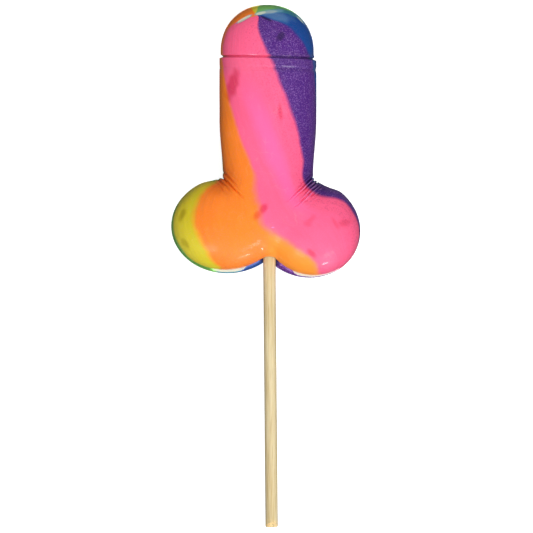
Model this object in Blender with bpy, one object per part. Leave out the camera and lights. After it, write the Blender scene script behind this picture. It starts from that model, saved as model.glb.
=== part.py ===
"""A pressed rainbow sugar candy on a wooden stick, lying on its back.

The candy comes out of a two-part mould, so its surface is worked out as two halves that
meet in one parting plane. The front half faces +Z. The back half faces -Z and is a little
larger, which leaves a narrow rim all round the front. The stick lies in the parting plane
in a blind socket. Lengths are in metres. `along` is measured up from the free end of the
stick, and `place` moves the finished pieces so that the middle of their box is at the
origin and their lowest points touch z = 0.
"""
import math
from dataclasses import dataclass

import bmesh
import bpy
import numpy as np

MM = 0.001

# Overall layout
OVERALL_LENGTH = 208.9 * MM
PARTING_HEIGHT = 12.0 * MM

# Stick
STICK_DIAMETER = 5.0 * MM
STICK_LENGTH = 150.0 * MM
STICK_END_X = 2.4 * MM
STICK_LEAN = math.radians(0.5)
STICK_BEVEL = 0.35 * MM
STICK_SIDES = 32
SOCKET_GAP = 0.3 * MM

# Stem, from the head down to the round lobes
STEM_X = 0.9 * MM
HEAD_X = 0.6 * MM
STEM_WIDTH = 39.0 * MM
WAIST_WIDTH = 36.4 * MM
HEAD_WIDTH = 37.5 * MM
WAIST_ALONG = 141.0 * MM
WAIST_LENGTH = 22.0 * MM
HEAD_DOME_HEIGHT = 18.8 * MM
HEAD_DOME_POWER = 2.15
FOOT_ALONG = 109.0 * MM
FOOT_DOME_HEIGHT = 26.0 * MM
FOOT_DOME_POWER = 2.0

# Rings moulded below the head, which slant a little across the stem
RING_SLANT = 0.027
GROOVE_ALONG = 187.7 * MM
GROOVE_REACH = 0.75 * MM
GROOVE_DEPTH = 0.75 * MM
DIP_ALONG = 182.3 * MM
DIP_REACH = 1.3 * MM
DIP_DEPTH = 0.3 * MM

# How softly the stem and the lobes melt into each other, at the rim and at the crown
RIM_FILLET = 1.2 * MM
CROWN_FILLET = 11.0 * MM

# Wrinkles pressed in where the stem meets each lobe
WRINKLE_HEIGHT = 0.34 * MM
WRINKLE_LENGTH = 12.0 * MM
WRINKLE_START = 3.0 * MM

# Reach of the shallow hollow beside each corner, where the lobe is pressed down
TUCK_REACH = 6.5 * MM


@dataclass(frozen=True)
class Lobe:
    """One round lobe at the foot: an ellipsoid whose long axis is tilted in the plane."""

    x: float
    along: float
    half_width: float
    half_height: float
    depth: float
    tilt: float


@dataclass(frozen=True)
class Half:
    """One half of the mould: how it faces, how far it is set in, its depth and lobes."""

    facing: float
    inset: float
    stem_depth: float
    foot_lift: float
    lobes: tuple
    columns: int


@dataclass(frozen=True)
class Corner:
    """A place where the stem meets a lobe: its wrinkles, and where its hollow lies."""

    x: float
    along: float
    heading: float
    pitch: float
    spread: float
    tuck_x: float
    tuck: float


FRONT = Half(
    facing=1.0,
    inset=0.25 * MM,
    stem_depth=12.6 * MM,
    foot_lift=2.0 * MM,
    lobes=(
        Lobe(-15.3 * MM, 121.3 * MM, 22.3 * MM, 18.4 * MM, 14.0 * MM, math.radians(6.6)),
        Lobe(18.1 * MM, 119.5 * MM, 19.9 * MM, 18.5 * MM, 14.0 * MM, math.radians(-28.6)),
    ),
    columns=13,
)
BACK = Half(
    facing=-1.0,
    inset=0.0,
    stem_depth=12.3 * MM,
    foot_lift=0.0,
    lobes=(
        Lobe(-15.0 * MM, 120.7 * MM, 22.9 * MM, 19.3 * MM, 12.5 * MM, math.radians(2.6)),
        Lobe(16.6 * MM, 119.4 * MM, 21.5 * MM, 19.6 * MM, 12.5 * MM, math.radians(-16.4)),
    ),
    columns=11,
)
CORNERS = (
    Corner(-17.6 * MM, 138.8 * MM, math.radians(-43.0), 1.65 * MM, 4.0 * MM, -20.2 * MM, 0.5 * MM),
    Corner(19.8 * MM, 137.6 * MM, math.radians(-135.0), 1.3 * MM, 4.0 * MM, 24.6 * MM, 1.0 * MM),
)

# Mesh layout. Ribs run from the centre line out to the rim. They fan round one pivot in
# the head and one between the lobes, and lean over between the stem and the lobe pivot.
HEAD_PIVOT_ALONG = OVERALL_LENGTH - HEAD_DOME_HEIGHT
LEAN_START_ALONG = 161.0 * MM
LOBE_PIVOT_ALONG = 119.6 * MM
CORNER_ANGLE = math.radians(46.0)
WRINKLE_FAN = math.radians(10.0)
DOWN = math.radians(-90.0)
HEAD_FAN_STEPS = 10
STEM_STEPS = 4
LEAN_STEPS = 5
WRINKLE_STEPS = 7
LOBE_FAN_STEPS = 17
LEAN_WRINKLE_SHARE = 0.66
GROOVE_ROWS = (-2.4, -1.5, -0.9, -0.45, 0.0, 0.45, 0.9, 1.6)
DIP_ROWS = (-2.4, -1.2, -0.5, 0.0, 0.5, 1.2, 2.4)

# Search limits for the surface
SEARCH_REACH = 60.0 * MM
SEARCH_STEPS = 150
SEARCH_DEPTH = 20.0 * MM
HALVINGS = 40
WELD_DISTANCE = 0.001 * MM


def smooth_step(start, length, value):
    """Rise softly from 0 at start to 1 at start + length."""
    share = np.clip((value - start) / length, 0.0, 1.0)
    return share * share * (3.0 - 2.0 * share)


def bump(distance, reach):
    """A soft hump of height 1 over distance 0 that ends at plus and minus reach."""
    share = np.clip(1.0 - (distance / reach) ** 2, 0.0, 1.0)
    return share * share


def dome(distance, height, power):
    """How a round end narrows: 1 where it starts, 0 at its tip."""
    share = np.clip(distance / height, 0.0, 1.0)
    return (1.0 - share**power) ** (1.0 / power)


def melt(first, second, fillet):
    """Join two distances to a surface with a fillet between them."""
    share = np.clip(0.5 + 0.5 * (second - first) / fillet, 0.0, 1.0)
    return second * (1.0 - share) + first * share - fillet * share * (1.0 - share)


def centre_x(along):
    """The centre line steps sideways a little where the head begins."""
    return STEM_X + (HEAD_X - STEM_X) * smooth_step(GROOVE_ALONG, 2.0 * GROOVE_REACH, along)


def stem_half_width(x, along, half):
    """Half the width of the stem, with its waist, rings, head and foot."""
    level = along + RING_SLANT * (x - STEM_X)
    width = WAIST_WIDTH + (STEM_WIDTH - WAIST_WIDTH) * smooth_step(WAIST_ALONG, WAIST_LENGTH, along)
    width -= (STEM_WIDTH - HEAD_WIDTH) * smooth_step(GROOVE_ALONG - GROOVE_REACH, GROOVE_REACH, level)
    relief = GROOVE_DEPTH * bump(level - GROOVE_ALONG, GROOVE_REACH)
    relief += DIP_DEPTH * bump(level - DIP_ALONG, DIP_REACH)
    head = dome(along - HEAD_PIVOT_ALONG, HEAD_DOME_HEIGHT - half.inset, HEAD_DOME_POWER)
    foot_pivot = FOOT_ALONG + half.foot_lift + FOOT_DOME_HEIGHT
    foot = dome(foot_pivot - along, FOOT_DOME_HEIGHT, FOOT_DOME_POWER)
    return (0.5 * width - half.inset - relief) * head * foot


def stem_distance(x, along, height, half):
    """Distance to the stem, an upright ellipse in every cross-section."""
    flatness = 0.5 * STEM_WIDTH / half.stem_depth
    reach = np.hypot(x - centre_x(along), flatness * height)
    return reach - stem_half_width(x, along, half)


def lobe_distance(x, along, height, lobe):
    """Distance to one round lobe."""
    cosine = math.cos(lobe.tilt)
    sine = math.sin(lobe.tilt)
    across = (x - lobe.x) * cosine + (along - lobe.along) * sine
    upward = (along - lobe.along) * cosine - (x - lobe.x) * sine
    scaled = (across / lobe.half_width) ** 2 + (upward / lobe.half_height) ** 2 + (height / lobe.depth) ** 2
    return (np.sqrt(scaled) - 1.0) * lobe.half_height


def wrinkle_height(x, along, corner):
    """Fine parallel folds that start at the corner and fade out on the body."""
    run = (x - corner.x) * math.cos(corner.heading) + (along - corner.along) * math.sin(corner.heading)
    across = (along - corner.along) * math.cos(corner.heading) - (x - corner.x) * math.sin(corner.heading)
    fade = smooth_step(-WRINKLE_START, WRINKLE_START, run)
    fade *= 1.0 - smooth_step(0.0, WRINKLE_LENGTH, run)
    wave = np.cos(2.0 * math.pi * across / corner.pitch)
    return WRINKLE_HEIGHT * wave * fade * bump(across, corner.spread)


def tuck_depth(x, along, corner):
    """The hollow beside a corner."""
    return corner.tuck * bump(np.hypot(x - corner.tuck_x, along - corner.along), TUCK_REACH)


def body_distance(x, along, height, half):
    """Distance to the whole candy, below zero inside it."""
    crown = np.clip(height / half.stem_depth, 0.0, 1.0)
    fillet = RIM_FILLET + (CROWN_FILLET - RIM_FILLET) * crown
    left, right = (lobe_distance(x, along, height, lobe) for lobe in half.lobes)
    pair = melt(left, right, fillet)
    distance = melt(pair, stem_distance(x, along, height, half), fillet)
    for corner in CORNERS:
        distance = distance - wrinkle_height(x, along, corner) + tuck_depth(x, along, corner)
    return distance


def rib_stations(side):
    """Where each rib starts on the centre line and its angle above level, head to foot."""
    slant = -side * math.atan(RING_SLANT)
    groove = [GROOVE_ALONG - row * MM for row in GROOVE_ROWS]
    dip = [DIP_ALONG - row * MM for row in DIP_ROWS]
    stations = []
    for angle in np.linspace(math.pi / 2.0, slant, HEAD_FAN_STEPS + 1):
        stations.append((HEAD_PIVOT_ALONG, angle))
    for along in groove[1:] + dip:
        stations.append((along, slant))
    for along in np.linspace(dip[-1], LEAN_START_ALONG, STEM_STEPS + 1)[1:]:
        stations.append((along, slant))
    early = np.linspace(0.0, LEAN_WRINKLE_SHARE, LEAN_STEPS + 1)[1:]
    late = np.linspace(LEAN_WRINKLE_SHARE, 1.0, WRINKLE_STEPS + 1)[1:]
    for share in list(early) + list(late):
        along = LEAN_START_ALONG + (LOBE_PIVOT_ALONG - LEAN_START_ALONG) * share
        stations.append((along, slant + (CORNER_ANGLE - slant) * share))
    fine_end = CORNER_ANGLE - WRINKLE_FAN
    for angle in np.linspace(CORNER_ANGLE, fine_end, WRINKLE_STEPS + 1)[1:]:
        stations.append((LOBE_PIVOT_ALONG, angle))
    for angle in np.linspace(fine_end, DOWN, LOBE_FAN_STEPS + 1)[1:]:
        stations.append((LOBE_PIVOT_ALONG, angle))
    return stations


def halve(inside, outside, distance_at):
    """Close in on the surface between a point inside and a point outside it."""
    for _ in range(HALVINGS):
        middle = 0.5 * (inside + outside)
        is_outside = distance_at(middle) > 0.0
        outside = np.where(is_outside, middle, outside)
        inside = np.where(is_outside, inside, middle)
    return 0.5 * (inside + outside)


def rim_reach(start_x, start_along, step_x, step_along, half):
    """How far each rib runs before it leaves the body in the parting plane."""

    def distance_at(reach):
        return body_distance(start_x + reach * step_x, start_along + reach * step_along, 0.0, half)

    trial = np.linspace(0.0, SEARCH_REACH, SEARCH_STEPS)
    outside = np.array([distance_at(np.full_like(start_x, reach)) > 0.0 for reach in trial])
    first = outside.argmax(axis=0)
    return halve(trial[first - 1], trial[first], distance_at)


def surface_grid(side, half):
    """Points of one side of one half, as rows of ribs from the centre line to the rim."""
    stations = np.array(rib_stations(side))
    start_along = stations[:, 0]
    start_x = centre_x(start_along)
    step_x = side * np.cos(stations[:, 1])
    step_along = np.sin(stations[:, 1])
    reach = rim_reach(start_x, start_along, step_x, step_along, half)
    share = np.sin(np.linspace(0.0, math.pi / 2.0, half.columns + 1))
    run = reach[:, None] * share[None, :]
    x = start_x[:, None] + run * step_x[:, None]
    along = start_along[:, None] + run * step_along[:, None]
    height = halve(
        np.zeros_like(x),
        np.full_like(x, SEARCH_DEPTH),
        lambda middle: body_distance(x, along, middle, half),
    )
    height[:, -1] = 0.0
    z = np.maximum(PARTING_HEIGHT + half.facing * height, 0.0)
    return np.stack([x, along, z], axis=-1)


def add_grid(mesh, grid):
    """Add a grid of points with the faces between them and return its vertices by row."""
    rows = [[mesh.verts.new(point) for point in row] for row in grid]
    for upper, lower in zip(rows, rows[1:]):
        for near in range(len(upper) - 1):
            mesh.faces.new((upper[near], lower[near], lower[near + 1], upper[near + 1]))
    return rows


def add_rim(mesh, front_rows, back_rows):
    """Bridge the rims of the two halves on one side."""
    front_rim = [row[-1] for row in front_rows]
    back_rim = [row[-1] for row in back_rows]
    for step in range(len(front_rim) - 1):
        mesh.faces.new((front_rim[step], front_rim[step + 1], back_rim[step + 1], back_rim[step]))


def candy_mesh():
    """The closed skin of the candy, without the socket."""
    mesh = bmesh.new()
    for side in (-1.0, 1.0):
        front_rows = add_grid(mesh, surface_grid(side, FRONT))
        back_rows = add_grid(mesh, surface_grid(side, BACK))
        add_rim(mesh, front_rows, back_rows)
    bmesh.ops.remove_doubles(mesh, verts=mesh.verts, dist=WELD_DISTANCE)
    bmesh.ops.recalc_face_normals(mesh, faces=mesh.faces)
    return mesh


def plain_material(name, colour, roughness):
    """A material of one colour."""
    material = bpy.data.materials.new(name)
    material.use_nodes = True
    shader = material.node_tree.nodes["Principled BSDF"]
    shader.inputs["Base Color"].default_value = (*colour, 1.0)
    shader.inputs["Roughness"].default_value = roughness
    shader.inputs["Metallic"].default_value = 0.0
    return material


def add_piece(name, mesh, material):
    """Make an object from a bmesh, shaded smooth, and free the bmesh."""
    data = bpy.data.meshes.new(name)
    mesh.to_mesh(data)
    mesh.free()
    data.shade_smooth()
    data.set_sharp_from_angle(angle=math.radians(40.0))
    data.materials.append(material)
    piece = bpy.data.objects.new(name, data)
    bpy.context.scene.collection.objects.link(piece)
    return piece


def rod_mesh(radius, length, bevel):
    """A round rod along +Y from the origin, with its end edges eased by bevel."""
    mesh = bmesh.new()
    profile = ((0.0, radius - bevel), (bevel, radius), (length - bevel, radius), (length, radius - bevel))
    rings = []
    for along, ring_radius in profile:
        ring = []
        for step in range(STICK_SIDES):
            angle = 2.0 * math.pi * step / STICK_SIDES
            ring.append(mesh.verts.new((ring_radius * math.cos(angle), along, ring_radius * math.sin(angle))))
        rings.append(ring)
    for near, far in zip(rings, rings[1:]):
        for step in range(STICK_SIDES):
            after = (step + 1) % STICK_SIDES
            mesh.faces.new((near[step], near[after], far[after], far[step]))
    mesh.faces.new(rings[0])
    mesh.faces.new(rings[-1])
    bmesh.ops.recalc_face_normals(mesh, faces=mesh.faces)
    return mesh


def place(piece, x, along, lean):
    """Put a piece where it belongs, with the middle of the whole length at the origin."""
    piece.location = (x, along - 0.5 * OVERALL_LENGTH, PARTING_HEIGHT)
    piece.rotation_euler = (0.0, 0.0, lean)


def make_stick():
    """The round wooden stick, level in the parting plane."""
    wood = plain_material("pale_wood", (0.82, 0.68, 0.42), 0.6)
    stick = add_piece("stick", rod_mesh(0.5 * STICK_DIAMETER, STICK_LENGTH, STICK_BEVEL), wood)
    place(stick, STICK_END_X, 0.0, STICK_LEAN)
    return stick


def make_candy():
    """The sugar body, with the blind socket cut for the stick."""
    sugar = plain_material("pink_sugar", (0.95, 0.18, 0.35), 0.25)
    candy = add_piece("candy", candy_mesh(), sugar)
    candy.location = (0.0, -0.5 * OVERALL_LENGTH, 0.0)
    cutter = add_piece(
        "socket_cutter",
        rod_mesh(0.5 * STICK_DIAMETER + SOCKET_GAP, STICK_LENGTH + SOCKET_GAP, STICK_BEVEL),
        sugar,
    )
    place(cutter, STICK_END_X, 0.0, STICK_LEAN)
    cutter.hide_render = True
    cutter.display_type = "WIRE"
    socket = candy.modifiers.new("socket", "BOOLEAN")
    socket.operation = "DIFFERENCE"
    socket.solver = "EXACT"
    socket.object = cutter
    return candy


def main():
    for old in list(bpy.data.objects):
        bpy.data.objects.remove(old, do_unlink=True)
    make_stick()
    make_candy()


main()
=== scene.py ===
# %% [markdown]
# # A rainbow sugar sweet on a stick
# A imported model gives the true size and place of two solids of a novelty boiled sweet,
# `candy` and `stick`. Here they get what a camera sees: pressed rings, wrinkles, dents and
# folds in the sugar, six twisted stripes, and the grain of the wood.

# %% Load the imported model
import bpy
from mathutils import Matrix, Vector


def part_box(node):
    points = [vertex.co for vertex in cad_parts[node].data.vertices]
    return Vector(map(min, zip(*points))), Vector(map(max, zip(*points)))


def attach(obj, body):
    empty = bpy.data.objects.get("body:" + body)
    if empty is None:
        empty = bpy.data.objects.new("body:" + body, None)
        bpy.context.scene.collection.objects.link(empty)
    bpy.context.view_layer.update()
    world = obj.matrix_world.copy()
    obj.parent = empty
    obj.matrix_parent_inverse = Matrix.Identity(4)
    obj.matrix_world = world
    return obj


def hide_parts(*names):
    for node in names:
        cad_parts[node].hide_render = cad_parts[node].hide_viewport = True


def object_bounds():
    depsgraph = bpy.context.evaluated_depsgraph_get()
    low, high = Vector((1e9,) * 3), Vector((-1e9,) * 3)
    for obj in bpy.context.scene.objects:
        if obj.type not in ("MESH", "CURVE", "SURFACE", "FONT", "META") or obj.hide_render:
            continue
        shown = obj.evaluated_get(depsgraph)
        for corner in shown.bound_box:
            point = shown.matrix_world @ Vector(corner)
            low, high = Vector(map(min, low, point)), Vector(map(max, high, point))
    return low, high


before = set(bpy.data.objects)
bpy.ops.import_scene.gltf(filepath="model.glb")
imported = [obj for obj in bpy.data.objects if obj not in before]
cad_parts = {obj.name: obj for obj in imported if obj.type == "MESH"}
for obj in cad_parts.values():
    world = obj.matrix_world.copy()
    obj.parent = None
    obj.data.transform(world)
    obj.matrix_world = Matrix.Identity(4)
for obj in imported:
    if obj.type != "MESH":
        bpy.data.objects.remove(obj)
cad_box = [list(corner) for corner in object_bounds()]

import math
from dataclasses import dataclass

import bmesh
import bpy
import numpy as np
from mathutils import Matrix, Vector

print("nodes:", sorted(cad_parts), "box in mm:", np.round(np.array(cad_box) * 1000.0, 1).tolist())

# %% [markdown]
# ## Measures
# The sweet is measured in millimetres up from the free end of the stick, the plainest place
# to measure from. The model's box tells where that end lies and how long the whole is.

# %% Measures taken from the model
MM = 0.001
stick_low, stick_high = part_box("stick")
FOOT_Y = -cad_box[1][1]
OVERALL_LENGTH = 2.0 * cad_box[1][1]
PARTING_HEIGHT = 0.5 * (stick_low.z + stick_high.z)
STICK_RADIUS = 0.5 * (stick_high.z - stick_low.z)
print("overall", round(OVERALL_LENGTH / MM, 2), "mm; parting plane at", round(PARTING_HEIGHT / MM, 2), "mm")

# %% [markdown]
# ## Soft steps and bumps
# A moulded surface has no hard corners, so every ring, dent and fold is made of the same few
# soft curves: a step that rises gently, a hump that ends flat, a round end, and a blend that
# leaves a fillet where two forms meet. A name that ends in RAMP holds a pair: where a soft
# step starts and how long it is. A name that ends in RIPPLE holds a pitch and a seed.


# %% Soft curves
def smooth_step(start, length, value):
    """Rise softly from 0 at start to 1 at start + length."""
    share = np.clip((value - start) / length, 0.0, 1.0)
    return share * share * (3.0 - 2.0 * share)


def below(top, length, value):
    """Rise softly from 0 at top to 1 at top - length."""
    return smooth_step(-top, length, -value)


def bump(distance, reach):
    """A soft hump of height 1 over distance 0 that ends at plus and minus reach."""
    share = np.clip(1.0 - (distance / reach) ** 2, 0.0, 1.0)
    return share * share


def blend(first, second, share):
    """Go from the first value to the second as the share goes from 0 to 1."""
    return first + (second - first) * share


def dome(distance, height, power):
    """How a round end narrows: 1 where it starts, 0 at its tip."""
    share = np.clip(distance / height, 0.0, 1.0)
    return (1.0 - share**power) ** (1.0 / power)


def melt(first, second, fillet):
    """Join two distances to a surface with a fillet between them."""
    share = np.clip(0.5 + 0.5 * (second - first) / fillet, 0.0, 1.0)
    return second * (1.0 - share) + first * share - fillet * share * (1.0 - share)


def ripple(x, along, pitch, seed):
    """A calm uneven wave between -1 and 1, made of a few crossing sine waves."""
    turns = np.random.default_rng(seed).uniform(0.0, 2.0 * math.pi, (4, 2))
    total = 0.0
    for heading, phase in turns:
        run = x * np.cos(heading) + along * np.sin(heading)
        total = total + np.sin(run * 2.0 * math.pi / pitch + phase)
    return total / len(turns)


print("a soft step a quarter of the way:", smooth_step(0.0, 1.0, 0.25))

# %% [markdown]
# ## The pressed body
# A two-part mould presses the warm rope of sugar. The front half and the back half have the
# same form, but the back is a little larger, so a narrow ledge shows all round the front.
# The stem is an ellipse in every cross-section, and two tilted ellipsoids make the lobes. A
# third, small ellipsoid is the lip where the front half bridges the stick.

# %% Sizes of the pressed body
STEM_X = 0.9 * MM
HEAD_X = 0.6 * MM
STEM_WIDTH = 39.0 * MM
WAIST_WIDTH = 36.4 * MM
HEAD_WIDTH = 37.5 * MM
WAIST_ALONG = 141.0 * MM
WAIST_LENGTH = 22.0 * MM
HEAD_DOME_HEIGHT = 18.8 * MM
HEAD_DOME_POWER = 2.15
HEAD_PIVOT_ALONG = OVERALL_LENGTH - HEAD_DOME_HEIGHT
FOOT_ALONG = 109.0 * MM
FOOT_DOME_HEIGHT = 26.0 * MM
FOOT_DOME_POWER = 2.0
RING_SLANT = 0.027
GROOVE_ALONG = 187.7 * MM
GROOVE_REACH = 0.75 * MM
GROOVE_DEPTH = 0.75 * MM
DIP_ALONG = 183.3 * MM
DIP_REACH = 1.3 * MM
DIP_DEPTH = 0.3 * MM
DIP_LEFT_SHARE = 0.3
DIP_RAMP = (-12.0 * MM, 16.0 * MM)
RIM_FILLET = 1.2 * MM
CROWN_FILLET = 11.0 * MM
SOCKET_X = 1.5 * MM
MOUTH_FILLET = 1.5 * MM


@dataclass(frozen=True)
class Lobe:
    """One round lobe: an ellipsoid whose long axis is tilted in the parting plane."""

    x: float
    along: float
    half_width: float
    half_height: float
    depth: float
    tilt: float


@dataclass(frozen=True)
class Half:
    """One half of the mould: how it faces, how far it is set in, its depth and lobes."""

    facing: float
    inset: float
    stem_depth: float
    foot_lift: float
    lobes: tuple
    columns: int


MOUTH = Lobe(SOCKET_X, 111.5 * MM, 6.5 * MM, 3.6 * MM, 6.2 * MM, 0.0)
FRONT = Half(
    facing=1.0,
    inset=0.25 * MM,
    stem_depth=12.6 * MM,
    foot_lift=2.0 * MM,
    lobes=(
        Lobe(-15.3 * MM, 121.3 * MM, 22.3 * MM, 18.4 * MM, 14.0 * MM, math.radians(6.6)),
        Lobe(18.1 * MM, 119.5 * MM, 19.9 * MM, 18.5 * MM, 14.0 * MM, math.radians(-28.6)),
    ),
    columns=60,
)
BACK = Half(
    facing=-1.0,
    inset=0.0,
    stem_depth=12.3 * MM,
    foot_lift=0.0,
    lobes=(
        Lobe(-15.0 * MM, 120.7 * MM, 22.9 * MM, 19.3 * MM, 12.5 * MM, math.radians(2.6)),
        Lobe(16.6 * MM, 119.4 * MM, 21.5 * MM, 19.6 * MM, 12.5 * MM, math.radians(-16.4)),
    ),
    columns=36,
)
print("stem", round(STEM_WIDTH / MM, 1), "mm wide")


# %% The stem
def level_of(x, along):
    """Height along the sweet as the slanting rings see it."""
    return along + RING_SLANT * (x - STEM_X)


def centre_x(along):
    """The centre line steps sideways a little where the head begins."""
    return blend(STEM_X, HEAD_X, smooth_step(GROOVE_ALONG, 2.0 * GROOVE_REACH, along))


def stem_distance(x, along, height, half):
    """Distance to the stem with its waist, rings, head and foot."""
    level = level_of(x, along)
    width = blend(WAIST_WIDTH, STEM_WIDTH, smooth_step(WAIST_ALONG, WAIST_LENGTH, along))
    width -= (STEM_WIDTH - HEAD_WIDTH) * smooth_step(GROOVE_ALONG - GROOVE_REACH, GROOVE_REACH, level)
    relief = GROOVE_DEPTH * bump(level - GROOVE_ALONG, GROOVE_REACH)
    dip_share = blend(DIP_LEFT_SHARE, 1.0, smooth_step(*DIP_RAMP, x))
    relief += DIP_DEPTH * bump(level - DIP_ALONG, DIP_REACH) * dip_share
    head = dome(along - HEAD_PIVOT_ALONG, HEAD_DOME_HEIGHT - half.inset, HEAD_DOME_POWER)
    above_foot = along - FOOT_ALONG - half.foot_lift
    foot = dome(FOOT_DOME_HEIGHT - above_foot, FOOT_DOME_HEIGHT, FOOT_DOME_POWER)
    flatness = 0.5 * STEM_WIDTH / half.stem_depth
    reach = np.hypot(x - centre_x(along), flatness * height)
    return reach - (0.5 * width - half.inset - relief) * head * foot


# %% The lobes
def lobe_distance(x, along, height, lobe):
    """Distance to one round lobe."""
    cosine = math.cos(lobe.tilt)
    sine = math.sin(lobe.tilt)
    across = (x - lobe.x) * cosine + (along - lobe.along) * sine
    upward = (along - lobe.along) * cosine - (x - lobe.x) * sine
    scaled = (across / lobe.half_width) ** 2 + (upward / lobe.half_height) ** 2 + (height / lobe.depth) ** 2
    return (np.sqrt(scaled) - 1.0) * lobe.half_height


# %% [markdown]
# ## Wrinkles, dents and folds
# Where the stem meets a lobe the sugar is gathered into fine wrinkles that run in from the
# corner. Small flat dents are pressed where an air bubble kept the mould away, and at the
# head the end of the rope is folded over; its pale streaks are painted highlights and its
# dark crease is painted shade. Fine lines run round the collar. Each is a soft groove or
# hump, placed by a few lengths.

# %% The places of wrinkles, dents and folds
TUCK_REACH = 6.5 * MM


@dataclass(frozen=True)
class Corner:
    """A place where the stem meets a lobe: its wrinkles, and where its hollow lies."""

    x: float
    along: float
    heading: float
    pitch: float
    spread: float
    height: float
    tuck_x: float
    tuck: float


@dataclass(frozen=True)
class Mark:
    """A long spot on the front: its middle, its half length and half width, how it lies."""

    x: float
    along: float
    half_length: float
    half_width: float
    heading: float
    depth: float
    strength: float


def place_marks(*rows):
    """Marks from rows of millimetres, with the heading in degrees and the strength last."""
    return tuple(
        Mark(x * MM, along * MM, length * MM, width * MM, math.radians(heading), depth * MM, strength)
        for x, along, length, width, heading, depth, strength in rows
    )


LEFT_CORNER = Corner(
    -17.6 * MM, 138.8 * MM, math.radians(-43.0), 1.75 * MM, 6.2 * MM, 0.5 * MM, -20.2 * MM, 0.5 * MM
)
RIGHT_CORNER = Corner(
    20.0 * MM, 136.6 * MM, math.radians(-135.0), 1.25 * MM, 6.6 * MM, 0.8 * MM, 24.6 * MM, 1.0 * MM
)
CORNERS = (LEFT_CORNER, RIGHT_CORNER)
DENTS = place_marks(
    (-13.2, 176.6, 7.4, 2.6, 76.0, 0.12, 1.0),
    (5.8, 165.4, 4.2, 1.0, 95.0, 0.10, 0.8),
    (-0.9, 127.2, 2.9, 1.7, 55.0, 0.15, 1.0),
    (-3.4, 124.6, 2.6, 1.6, 50.0, 0.15, 0.8),
    (18.3, 109.6, 2.6, 1.3, -42.0, 0.20, 0.9),
    (31.4, 121.6, 3.2, 1.7, 10.0, 0.12, 0.6),
    (27.8, 121.4, 3.4, 0.9, -57.0, 0.10, 0.5),
    (17.6, 122.4, 3.6, 1.2, 48.0, 0.12, 0.5),
    (16.6, 121.2, 2.2, 1.4, -10.0, 0.10, 0.4),
    (-33.4, 124.8, 3.2, 1.3, 65.0, 0.12, 0.9),
    (-32.2, 113.6, 2.6, 1.4, -50.0, 0.12, 0.8),
    (6.0, 195.8, 2.3, 1.8, 60.0, 0.2, 1.0),
)
# The pale marks are painted highlights: on the folds at the rope's end, along the head's rim, and as a
# small glint low in the middle.
PAINTED_HIGHLIGHT_FOLDS = place_marks(
    (-8.65, 202.85, 4.0, 0.62, 29.0, 0.35, 1.0),
    (-1.9, 205.2, 3.2, 0.75, 15.0, 0.2, 0.7),
    (1.6, 205.7, 6.4, 1.15, 7.0, 0.0, 0.42),
    (4.0, 204.2, 8.5, 2.6, -16.0, 0.0, 0.17),
    (13.7, 202.8, 3.2, 0.38, -46.0, 0.1, 0.6),
    (2.5, 119.8, 0.6, 0.3, -30.0, 0.1, 0.3),
)
# The dark crease at the head is painted shade; the second mark is a small dark dot.
DARK_FOLDS = place_marks(
    (0.4, 202.9, 3.3, 0.5, -24.0, 0.35, 1.0),
    (2.7, 179.2, 0.3, 0.3, 0.0, 0.1, 0.7),
)
print(len(DENTS), "dents,", len(PAINTED_HIGHLIGHT_FOLDS), "pale folds,", len(DARK_FOLDS), "dark folds")

# %% Relief of the wrinkles
WRINKLE_START = 3.0 * MM
WRINKLE_LENGTH = 13.0 * MM
WRINKLE_SHARES = (0.4, 1.1)
WRINKLE_BEAT = 2.1
WRINKLE_BEAT_PHASE = 0.7
WRINKLE_RAMP = (0.35, 0.75)
WRINKLE_FANNING = 0.03
WRINKLE_WOBBLE = 0.12
WRINKLE_RIPPLE = (5.0 * MM, 3)
WRINKLE_ROUNDNESS = 0.8
WRINKLE_SINK = 1.3


def along_heading(x, along, mark):
    """Distances from a mark's middle, along it and across it."""
    run = (x - mark.x) * math.cos(mark.heading) + (along - mark.along) * math.sin(mark.heading)
    across = (along - mark.along) * math.cos(mark.heading) - (x - mark.x) * math.sin(mark.heading)
    return run, across


def wrinkle_share(x, along, corner):
    """Fine uneven folds that start at the corner and fade out on the body."""
    run, across = along_heading(x, along, corner)
    beat = 0.5 + 0.5 * np.sin(across / corner.pitch * WRINKLE_BEAT + WRINKLE_BEAT_PHASE)
    length = WRINKLE_LENGTH * blend(*WRINKLE_SHARES, beat)
    fade = smooth_step(-WRINKLE_START, WRINKLE_START, run)
    fade *= 1.0 - smooth_step(*WRINKLE_RAMP, run / length)
    wobble = WRINKLE_WOBBLE * corner.pitch * ripple(x, along, *WRINKLE_RIPPLE)
    bend = across + WRINKLE_FANNING * run + wobble
    wave = 2.0 * np.abs(np.cos(math.pi * bend / corner.pitch)) ** WRINKLE_ROUNDNESS - WRINKLE_SINK
    return wave * fade * bump(across, corner.spread)


print("wrinkles up to", round(RIGHT_CORNER.height * (2.0 - WRINKLE_SINK) / MM, 2), "mm high")

# %% Relief of the dents, folds and collar lines
MARK_RAGGEDNESS = 0.16
MARK_RIPPLE = (3.4 * MM, 11)
MARK_RAMP = (0.4, 0.75)
COLLAR_LINES_X = 6.0 * MM
COLLAR_LINES_REACH = 14.0 * MM
COLLAR_LINES = (
    (186.6 * MM, 0.2 * MM, 0.38 * MM),
    (185.7 * MM, 0.2 * MM, 0.38 * MM),
    (184.9 * MM, 0.2 * MM, 0.38 * MM),
    (183.5 * MM, 0.45 * MM, 0.85 * MM),
)


def mark_cover(x, along, mark):
    """1 on a mark, falling softly to 0 at its uneven edge."""
    run, across = along_heading(x, along, mark)
    ragged = 1.0 + MARK_RAGGEDNESS * ripple(x, along, *MARK_RIPPLE)
    ring = (run / mark.half_length) ** 2 + (across / mark.half_width) ** 2
    return 1.0 - smooth_step(*MARK_RAMP, np.sqrt(ring) * ragged)


def cover_of(x, along, marks):
    """How much of any of the marks lies at each point."""
    total = 0.0
    for mark in marks:
        total = np.maximum(total, mark.strength * mark_cover(x, along, mark))
    return total


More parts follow.
